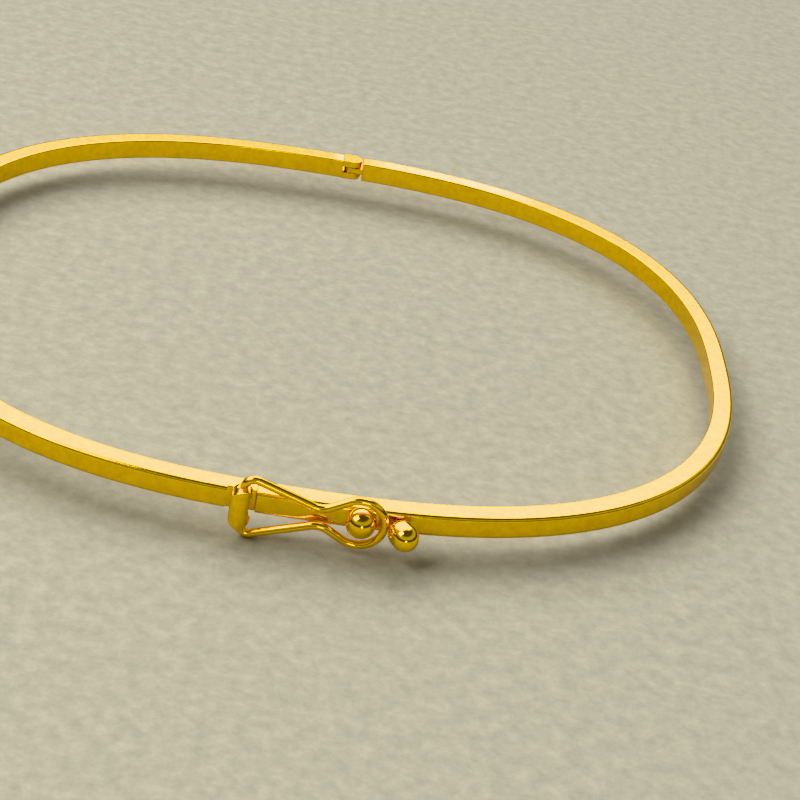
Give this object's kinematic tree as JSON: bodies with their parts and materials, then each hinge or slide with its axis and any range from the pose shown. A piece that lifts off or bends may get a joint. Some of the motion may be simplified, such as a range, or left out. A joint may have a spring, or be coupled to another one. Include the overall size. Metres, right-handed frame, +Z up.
{
  "type": "bangle bracelet",
  "caption": "Slim oval bangle of near-square gold wire, hinged at the back and closed at the front by a figure-eight wire latch over a ball stud.",
  "frame": {"origin": "middle of the footprint at the lowest point of the latch wire", "axes": "+Z up with the ring lying flat, front with the latch towards -Y, +X along the long width of the oval"},
  "size_m": [0.0614, 0.0546, 0.0047],
  "materials": {
    "band_gold": "polished yellow gold",
    "latch_gold": "bright polished yellow gold"
  },
  "bodies": {
    "left_half": {"left_band": "band_gold", "hinge_knuckle_upper": "band_gold", "hinge_knuckle_lower": "band_gold", "hinge_pin": "band_gold", "latch_lug": "band_gold"},
    "right_half": {"right_band": "band_gold", "hinge_knuckle_middle": "band_gold", "ball_stud": "latch_gold"},
    "latch": {"latch_head": "latch_gold", "latch_pin": "latch_gold", "latch_wire": "latch_gold", "tip_knob": "latch_gold"}
  },
  "joints": [
    {"name": "back_hinge", "type": "hinge", "parent": "left_half", "child": "right_half", "pos_m": [0.0012, 0.02655, 0.00233], "axis": [0, 0, 1], "range_deg": [0, 55]},
    {"name": "latch_hinge", "type": "hinge", "parent": "left_half", "child": "latch", "pos_m": [-0.0039, -0.02555, 0.00233], "axis": [0, 0, -1], "range_deg": [0, 90]}
  ]
}
